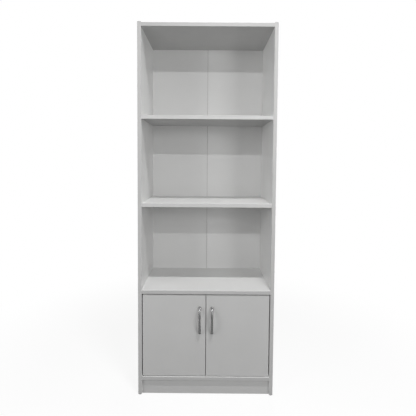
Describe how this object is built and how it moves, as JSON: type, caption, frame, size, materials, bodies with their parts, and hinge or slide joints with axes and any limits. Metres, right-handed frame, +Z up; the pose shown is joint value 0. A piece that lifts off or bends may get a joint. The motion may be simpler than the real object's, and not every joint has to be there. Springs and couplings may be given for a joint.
{
  "type": "bookcase with cabinet doors",
  "caption": "Tall narrow bookcase of flat boards with open shelves above a base cabinet, whose inset hinged doors carry upright bow handles.",
  "frame": {"origin": "on the floor, under the middle of the whole part's box, handles and nail heads included", "axes": "+Z up, the doors face -Y, +X to the right seen from the front"},
  "size_m": [0.6, 0.3258, 1.637],
  "materials": {
    "case_board": "melamine-faced particle board, pale grey, satin, edges banded in the same tone",
    "door_board": "melamine-faced particle board, mid grey, satin, edges banded in the same tone",
    "back_hardboard": "thin hardboard, pale grey painted face",
    "back_tape": "grey cloth tape, matt",
    "nail_steel": "bright zinc",
    "cam_zinc": "die-cast zinc, dull",
    "bolt_steel": "zinc plated",
    "screw_steel": "zinc plated",
    "dowel_wood": "beech, raw",
    "glide_plastic": "moulded, matt dark grey",
    "hinge_nickel": "nickel plated, satin",
    "handle_metal": "dark satin nickel",
    "strike_steel": "zinc plated sheet",
    "catch_plastic": "moulded, matt pale grey",
    "magnet_ferrite": "sintered ferrite, matt black"
  },
  "bodies": {
    "case": {"left_side_panel": "case_board", "right_side_panel": "case_board", "bottom_panel": "case_board", "cabinet_top_panel": "case_board", "lower_shelf": "case_board", "upper_shelf": "case_board", "top_panel": "case_board", "plinth_board": "case_board", "left_back_panel": "back_hardboard", "right_back_panel": "back_hardboard", "back_joint_tape": "back_tape", "back_nails": "nail_steel", "cam_locks": "cam_zinc", "cam_bolts": "bolt_steel", "joint_dowels": "dowel_wood", "foot_glides": "glide_plastic", "left_upper_hinge_arm": "hinge_nickel", "left_lower_hinge_arm": "hinge_nickel", "right_upper_hinge_arm": "hinge_nickel", "right_lower_hinge_arm": "hinge_nickel", "left_upper_hinge_plate": "hinge_nickel", "left_lower_hinge_plate": "hinge_nickel", "right_upper_hinge_plate": "hinge_nickel", "right_lower_hinge_plate": "hinge_nickel", "hinge_arm_screws": "screw_steel", "hinge_plate_screws": "screw_steel", "catch_housing": "catch_plastic", "catch_magnets": "magnet_ferrite", "catch_screws": "screw_steel"},
    "left_door": {"left_door_panel": "door_board", "left_handle": "handle_metal", "left_handle_screws": "screw_steel", "left_cup_screws": "screw_steel", "left_strike_plate": "strike_steel", "left_strike_screw": "screw_steel", "left_upper_hinge_cup": "hinge_nickel", "left_upper_hinge_pin": "hinge_nickel", "left_lower_hinge_cup": "hinge_nickel", "left_lower_hinge_pin": "hinge_nickel"},
    "right_door": {"right_door_panel": "door_board", "right_handle": "handle_metal", "right_handle_screws": "screw_steel", "right_cup_screws": "screw_steel", "right_strike_plate": "strike_steel", "right_strike_screw": "screw_steel", "right_upper_hinge_cup": "hinge_nickel", "right_upper_hinge_pin": "hinge_nickel", "right_lower_hinge_cup": "hinge_nickel", "right_lower_hinge_pin": "hinge_nickel"}
  },
  "joints": [
    {"name": "left_door_hinge", "type": "hinge", "parent": "case", "child": "left_door", "pos_m": [-0.27026, -0.127, 0.27175], "axis": [0, 0, -1], "range_deg": [0, 105]},
    {"name": "right_door_hinge", "type": "hinge", "parent": "case", "child": "right_door", "pos_m": [0.27026, -0.127, 0.27175], "axis": [0, 0, 1], "range_deg": [0, 105]}
  ]
}
